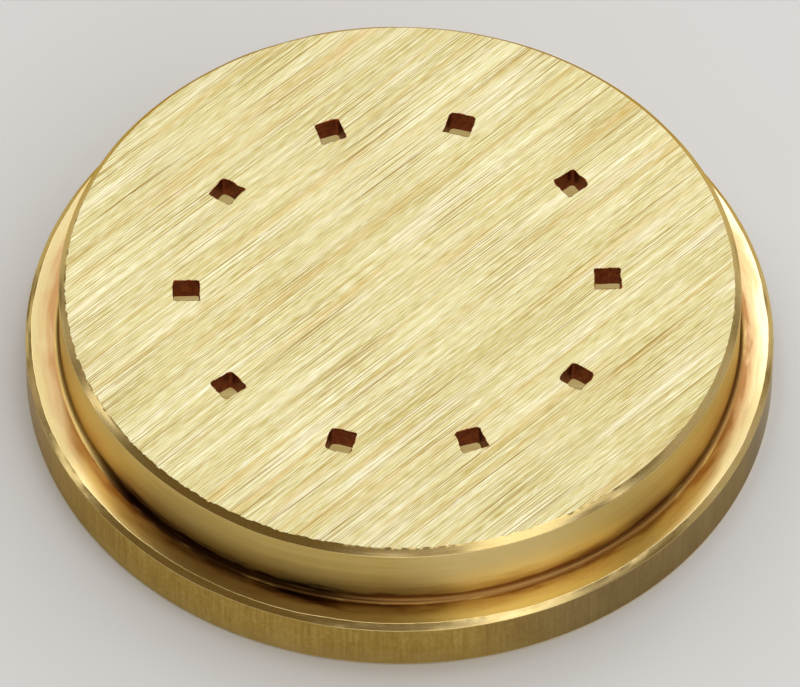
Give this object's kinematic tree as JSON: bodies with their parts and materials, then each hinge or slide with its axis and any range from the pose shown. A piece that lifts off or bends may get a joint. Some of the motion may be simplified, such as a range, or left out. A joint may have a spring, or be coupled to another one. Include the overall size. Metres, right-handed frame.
{
  "type": "pasta extrusion die",
  "caption": "Flanged brass disc die with a ring of small square forming holes, each fed from the back by a wider flat-bottomed bore, for pressing dough into square strands.",
  "frame": {"origin": "centre of the underside, on the die's axis", "axes": "+Z along the axis from the back towards the face, +X through the first forming hole"},
  "size_m": [0.055, 0.055, 0.01],
  "materials": {
    "brass": "turned from bar: linished face, turned boss and shoulder, raw drawn skin on the flange's rim"
  },
  "bodies": {
    "root": {"die": "brass"}
  },
  "joints": []
}
